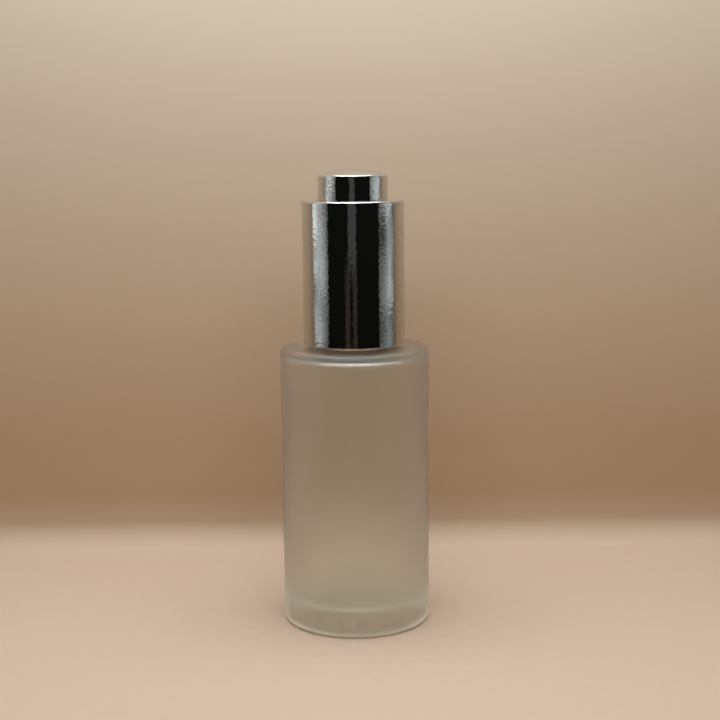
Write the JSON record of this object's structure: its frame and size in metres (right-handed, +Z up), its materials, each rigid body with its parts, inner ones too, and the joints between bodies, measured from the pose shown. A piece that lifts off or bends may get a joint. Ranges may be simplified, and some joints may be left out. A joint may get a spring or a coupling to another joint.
{
  "type": "foundation bottle",
  "caption": "Frosted cylindrical glass bottle with a flat shoulder and a heavy base, closed by a polished metal collar with a domed push button that works a glass dropper.",
  "frame": {"origin": "middle of the base, on the surface the bottle stands on", "axes": "+Z up along the bottle's axis, through the neck and the push button"},
  "size_m": [0.033, 0.033, 0.1013],
  "materials": {
    "frosted_glass": "acid-etched satin outside, smooth inside",
    "clear_glass": "clear, fire-polished",
    "polished_metal": "bright polished and anodised, faint orange peel",
    "white_plastic": "moulded polypropylene",
    "natural_plastic": "moulded low-density polyethylene, slightly see-through",
    "teat_rubber": "moulded silicone rubber, satin"
  },
  "bodies": {
    "bottle": {"bottle": "frosted_glass", "wiper_plug": "natural_plastic"},
    "dropper": {"pipette": "clear_glass", "teat": "teat_rubber"},
    "cap": {"thread_cap": "white_plastic", "button_guide": "white_plastic", "outer_shell": "polished_metal"},
    "button": {"button_core": "white_plastic", "button_shell": "polished_metal"}
  },
  "joints": [
    {"name": "dropper_lift", "type": "slide", "parent": "bottle", "child": "dropper", "axis": [0, 0, 1], "range_m": [0, 0.072]},
    {"name": "cap_turn", "type": "hinge", "parent": "dropper", "child": "cap", "pos_m": [0, 0, 0.0785], "axis": [0, 0, 1], "range_deg": [0, 540]},
    {"name": "button_press", "type": "slide", "parent": "cap", "child": "button", "axis": [0, 0, -1], "range_m": [0, 0.0045], "stiffness_N_per_m": 1200, "deforming": ["teat"]}
  ]
}
